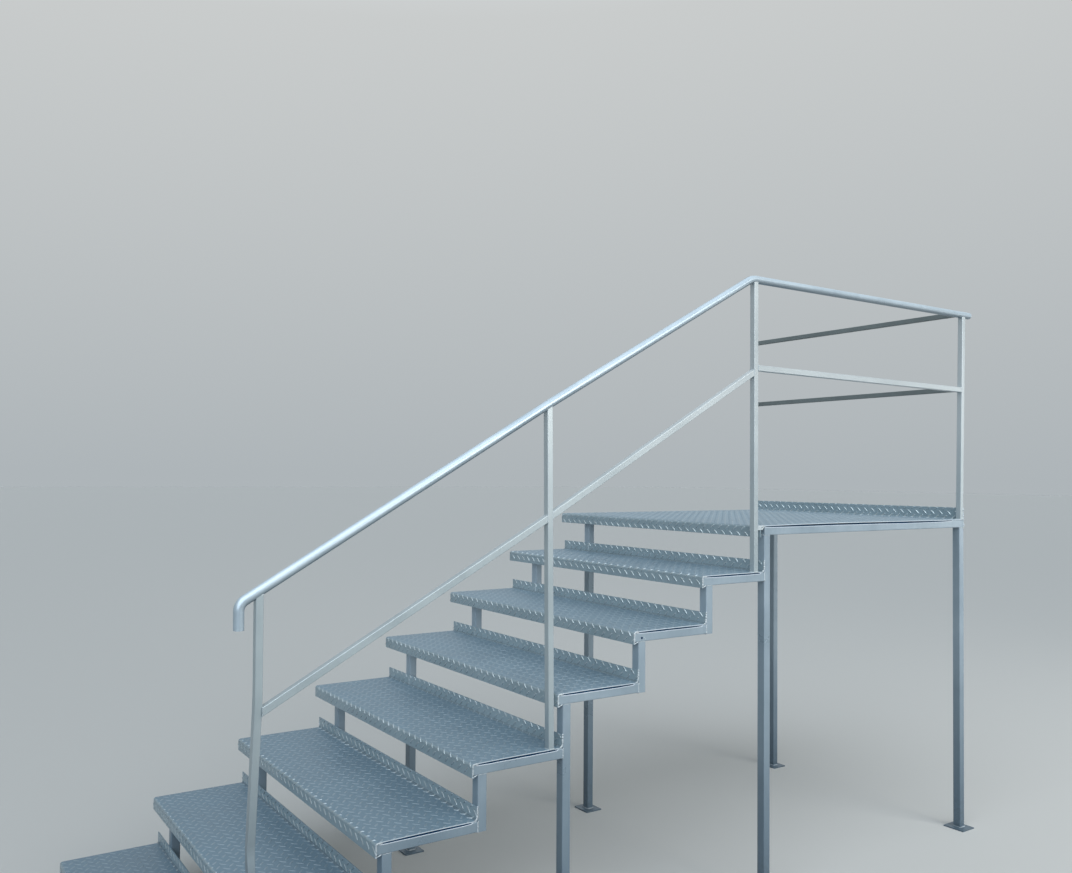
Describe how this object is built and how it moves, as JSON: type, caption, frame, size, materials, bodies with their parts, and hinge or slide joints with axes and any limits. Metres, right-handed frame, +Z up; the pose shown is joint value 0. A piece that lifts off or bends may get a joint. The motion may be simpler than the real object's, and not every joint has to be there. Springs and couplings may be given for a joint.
{
  "type": "fire escape stair",
  "caption": "Straight welded steel stair with folded chequer plate treads on zigzag tube stringers, rising to a wall-side landing, with a pipe handrail and knee rail on the open side.",
  "frame": {"origin": "centre of the stair's bounding box at ground level, where its base plates stand", "axes": "+X up the flight and along the wall, +Y from the open side with the handrail to the wall side, +Z up"},
  "size_m": [3.394, 1.105, 2.1355],
  "materials": {
    "plate_paint": "worn blue-grey paint on chequer plate",
    "frame_paint": "semi-gloss silvery blue-grey paint on square tube",
    "rail_paint": "glossier silvery blue-grey paint on pipe"
  },
  "bodies": {
    "root": {"tread_1": "plate_paint", "tread_2": "plate_paint", "tread_3": "plate_paint", "tread_4": "plate_paint", "tread_5": "plate_paint", "tread_6": "plate_paint", "tread_7": "plate_paint", "landing_plate": "plate_paint", "front_step_1": "frame_paint", "front_step_2": "frame_paint", "front_step_3": "frame_paint", "front_step_4": "frame_paint", "front_step_5": "frame_paint", "front_step_6": "frame_paint", "front_step_7": "frame_paint", "back_step_1": "frame_paint", "back_step_2": "frame_paint", "back_step_3": "frame_paint", "back_step_4": "frame_paint", "back_step_5": "frame_paint", "back_step_6": "frame_paint", "back_step_7": "frame_paint", "front_foot_post": "frame_paint", "back_foot_post": "frame_paint", "front_mid_post": "frame_paint", "back_mid_post": "frame_paint", "landing_post_front_left": "frame_paint", "landing_post_back_left": "frame_paint", "landing_post_front_right": "frame_paint", "landing_post_back_right": "frame_paint", "landing_front_beam": "frame_paint", "landing_back_beam": "frame_paint", "landing_left_beam": "frame_paint", "landing_right_beam": "frame_paint", "landing_joist": "frame_paint", "rail_post_low": "frame_paint", "rail_post_mid": "frame_paint", "rail_post_top": "frame_paint", "rail_post_corner": "frame_paint", "knee_rail_low": "frame_paint", "knee_rail_high": "frame_paint", "knee_rail_landing": "frame_paint", "return_rail_top": "frame_paint", "return_rail_knee": "frame_paint", "handrail_end": "rail_paint", "handrail_elbow": "rail_paint", "handrail_low": "rail_paint", "handrail_high": "rail_paint", "handrail_bend": "rail_paint", "handrail_landing": "rail_paint"}
  },
  "joints": []
}
